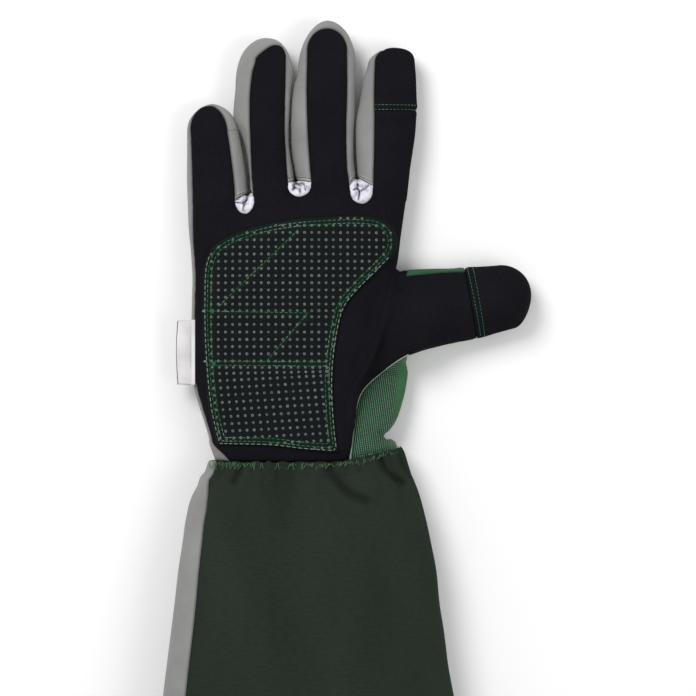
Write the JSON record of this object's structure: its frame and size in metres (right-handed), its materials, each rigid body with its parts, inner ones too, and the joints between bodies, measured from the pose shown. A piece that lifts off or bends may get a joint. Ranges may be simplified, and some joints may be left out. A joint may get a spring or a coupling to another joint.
{
  "type": "rose pruning gauntlet",
  "caption": "Right-hand gardening glove with suede palm, dotted grip patch, capped fingertips, grey finger sides and a long flared cloth cuff, open for hand and forearm",
  "frame": {"origin": "on the flat underside of the back panel, below the middle of the palm", "axes": "+Y along the fingers, +X towards the thumb, +Z out of the palm"},
  "size_m": [0.187, 0.4066, 0.0501],
  "materials": {
    "suede": "matt black synthetic suede",
    "suede_cap": "smooth matt black synthetic suede",
    "grip_rubber": "black woven patch with raised grey dots",
    "grey_cloth": "smooth grey stretch cloth",
    "green_cloth": "green cloth",
    "green_weave": "coarse green weave",
    "white_stretch": "white crumpled cloth",
    "cuff_cloth": "smooth dark green cloth",
    "label_tape": "white woven tape"
  },
  "bodies": {
    "root": {"palm_panel": "suede", "index_tip": "suede_cap", "thumb_front": "suede", "thumb_tip": "suede_cap", "thumb_back": "green_cloth", "thumb_base": "green_weave", "back_panel": "green_cloth", "ulnar_side": "grey_cloth", "finger_back_pinky": "grey_cloth", "finger_back_ring": "grey_cloth", "finger_back_middle": "grey_cloth", "finger_back_index": "grey_cloth", "fourchette_pinky_inner": "grey_cloth", "fourchette_ring_outer": "grey_cloth", "fourchette_ring_inner": "grey_cloth", "fourchette_middle_outer": "grey_cloth", "fourchette_middle_inner": "grey_cloth", "fourchette_index_outer": "grey_cloth", "web_pinky_ring": "white_stretch", "web_ring_middle": "white_stretch", "web_middle_index": "white_stretch", "palm_grip_patch": "grip_rubber", "cuff": "cuff_cloth", "cuff_side_strip": "grey_cloth", "side_label": "label_tape"}
  },
  "joints": []
}
